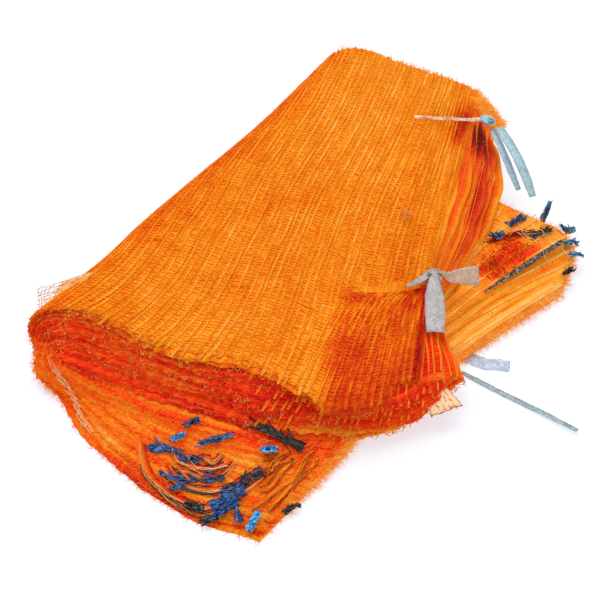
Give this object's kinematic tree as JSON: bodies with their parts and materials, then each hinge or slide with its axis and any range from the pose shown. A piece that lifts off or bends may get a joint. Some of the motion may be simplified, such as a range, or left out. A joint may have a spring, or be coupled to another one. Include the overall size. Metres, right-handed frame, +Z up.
{
  "type": "tied pack of drawstring mesh bags",
  "caption": "Flat stack of empty knitted net bags with drawstrings, folded over along a slanting line and tied through its free edge with tapes.",
  "frame": {"origin": "bottom centre of the pack's box without its free tie tails, on the surface that the pack lies on", "axes": "+Z up, +X to the right across the flap from the fold to its tied edge, +Y from the front ends to the back"},
  "size_m": [0.4184, 0.4782, 0.0844],
  "materials": {
    "net_orange": "knitted plastic net, ribbed, slightly glossy strands",
    "drawstring_blue": "flat woven plastic tape, royal blue to near black",
    "tie_tape": "thin pale grey non-woven tape, crinkled"
  },
  "bodies": {
    "root": {"bag_layer_1": "net_orange", "bag_layer_2": "net_orange", "bag_layer_3": "net_orange", "bag_layer_4": "net_orange", "bag_layer_5": "net_orange", "bag_layer_6": "net_orange", "drawstring_front_01": "drawstring_blue", "drawstring_front_02": "drawstring_blue", "drawstring_front_03": "drawstring_blue", "drawstring_front_04": "drawstring_blue", "drawstring_front_05": "drawstring_blue", "drawstring_front_06": "drawstring_blue", "drawstring_front_07": "drawstring_blue", "drawstring_front_08": "drawstring_blue", "drawstring_front_09": "drawstring_blue", "drawstring_front_10": "drawstring_blue", "drawstring_front_11": "drawstring_blue", "drawstring_front_12": "drawstring_blue", "drawstring_front_13": "drawstring_blue", "drawstring_front_14": "drawstring_blue", "drawstring_front_15": "drawstring_blue", "drawstring_front_16": "drawstring_blue", "drawstring_front_17": "drawstring_blue", "drawstring_front_18": "drawstring_blue", "drawstring_front_19": "drawstring_blue", "drawstring_back_01": "drawstring_blue", "drawstring_back_02": "drawstring_blue", "drawstring_back_03": "drawstring_blue", "drawstring_back_04": "drawstring_blue", "drawstring_back_05": "drawstring_blue", "drawstring_back_06": "drawstring_blue", "drawstring_back_07": "drawstring_blue", "drawstring_back_08": "drawstring_blue", "drawstring_mouth_strip": "drawstring_blue", "tie_back_strap": "tie_tape", "tie_back_knot": "tie_tape", "tie_back_tail_near": "tie_tape", "tie_back_tail_far": "tie_tape", "tie_middle_strap": "tie_tape", "tie_middle_knot": "tie_tape", "tie_middle_tail_down": "tie_tape", "tie_middle_tail_side": "tie_tape", "tie_front_tail_short": "tie_tape", "tie_front_tail_long": "tie_tape"}
  },
  "joints": []
}
